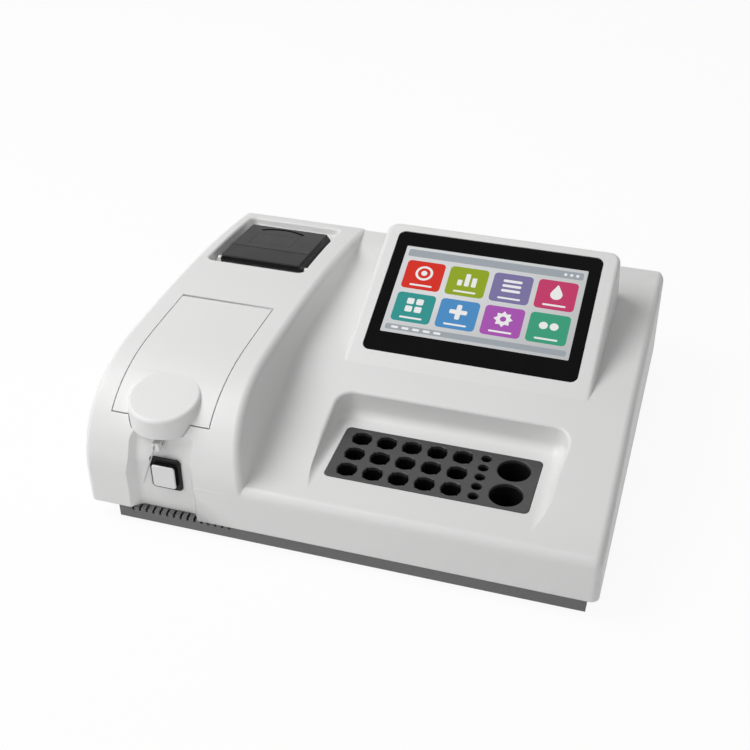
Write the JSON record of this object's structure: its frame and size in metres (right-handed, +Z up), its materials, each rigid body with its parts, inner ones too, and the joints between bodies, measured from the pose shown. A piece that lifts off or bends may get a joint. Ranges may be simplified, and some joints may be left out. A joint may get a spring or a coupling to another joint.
{
  "type": "benchtop chemistry analyzer",
  "caption": "White benchtop chemistry analyzer with a tilted touch screen, a sunk incubator block, a hinged sample lid with a sipper and a built-in printer, on a grey base.",
  "frame": {"origin": "middle of the box that holds the whole object, on the bench under the feet", "axes": "+X to the operator's right, +Y to the rear, +Z up"},
  "size_m": [0.4, 0.3506, 0.1408],
  "materials": {
    "white_plastic": "satin moulded white",
    "grey_paint": "matte grey powder coat",
    "dark_plastic": "fine grained dark grey",
    "black_plastic": "satin black",
    "screen_glass": "polished, black behind",
    "clear_glass": "polished",
    "clear_tube": "milky clear",
    "steel": "plain steel",
    "aluminium": "machined",
    "rubber": "matte",
    "paper": "plain white",
    "circuit_board": "green solder mask"
  },
  "bodies": {
    "casing": {"top_casing": "white_plastic", "base_tray": "grey_paint", "rear_panel": "grey_paint", "foot_1": "rubber", "foot_2": "rubber", "foot_3": "rubber", "foot_4": "rubber", "incubator_heater": "rubber", "casing_screw_1": "steel", "casing_screw_2": "steel", "casing_screw_3": "steel", "casing_screw_4": "steel", "lid_hinge_pin": "steel", "door_hinge_pin": "steel", "sipper_needle": "steel", "filter_motor": "steel", "filter_motor_bracket": "steel", "pump_motor": "steel", "incubator_stand": "steel", "lcd_bracket": "steel", "serial_port": "steel", "usb_port": "steel", "power_supply": "steel", "sipper_holder": "white_plastic", "suction_key_bezel": "black_plastic", "detector": "black_plastic", "printer_body": "black_plastic", "print_head": "black_plastic", "lcd_panel": "black_plastic", "power_inlet": "black_plastic", "switch_housing": "black_plastic", "fan_frame": "black_plastic", "sample_tub": "dark_plastic", "pump_body": "dark_plastic", "incubator_plate": "dark_plastic", "optics_plate": "aluminium", "cell_holder": "aluminium", "lamp_housing": "aluminium", "incubator_block": "aluminium", "flow_cell": "clear_glass", "condenser_lens": "clear_glass", "lamp": "clear_glass", "display_glass": "screen_glass", "pump_tube": "clear_tube", "sample_tube": "clear_tube", "waste_fitting": "clear_tube", "main_board": "circuit_board", "suction_key_switch": "circuit_board"},
    "lid": {"sample_lid": "white_plastic"},
    "key": {"suction_key": "black_plastic", "suction_key_cap": "white_plastic"},
    "rocker": {"power_rocker": "black_plastic"},
    "printer_cover": {"printer_door": "dark_plastic"},
    "platen": {"platen_roller": "rubber"},
    "roll": {"paper_roll": "paper"},
    "wheel": {"filter_wheel": "aluminium"},
    "pump": {"pump_rotor": "white_plastic"},
    "fan": {"fan_rotor": "black_plastic"}
  },
  "joints": [
    {"name": "lid_hinge", "type": "hinge", "parent": "casing", "child": "lid", "pos_m": [-0.1404, -0.02045, 0.11185], "axis": [-1, 0, 0], "range_deg": [0, 75]},
    {"name": "suction_key_slide", "type": "slide", "parent": "casing", "child": "key", "axis": [0, 1, 0], "range_m": [0, 0.002], "stiffness_N_per_m": 300, "springref_m": -0.001},
    {"name": "power_rocker_hinge", "type": "hinge", "parent": "casing", "child": "rocker", "pos_m": [0.122, 0.16375, 0.051], "axis": [-1, 0, 0], "range_deg": [0, 14]},
    {"name": "printer_door_hinge", "type": "hinge", "parent": "casing", "child": "printer_cover", "pos_m": [-0.1405, 0.06351, 0.10492], "axis": [1, 0, 0], "range_deg": [0, 90]},
    {"name": "platen_spin", "type": "hinge", "parent": "casing", "child": "platen", "pos_m": [-0.1405, 0.12376, 0.08836], "axis": [1, 0, 0], "continuous": true},
    {"name": "paper_roll_spin", "type": "hinge", "parent": "casing", "child": "roll", "pos_m": [-0.1405, 0.09768, 0.07268], "axis": [1, 0, 0], "continuous": true},
    {"name": "filter_wheel_spin", "type": "hinge", "parent": "casing", "child": "wheel", "pos_m": [-0.1075, -0.09435, 0.033], "axis": [1, 0, 0], "continuous": true},
    {"name": "pump_rotor_spin", "type": "hinge", "parent": "casing", "child": "pump", "pos_m": [-0.14, -0.05835, 0.0757], "axis": [0, 0, 1], "continuous": true},
    {"name": "fan_spin", "type": "hinge", "parent": "casing", "child": "fan", "pos_m": [0.081, 0.15385, 0.051], "axis": [0, 1, 0], "continuous": true}
  ],
  "couplings": [
    {"joint": "paper_roll_spin", "follows": "platen_spin", "ratio": 0.23684}
  ]
}
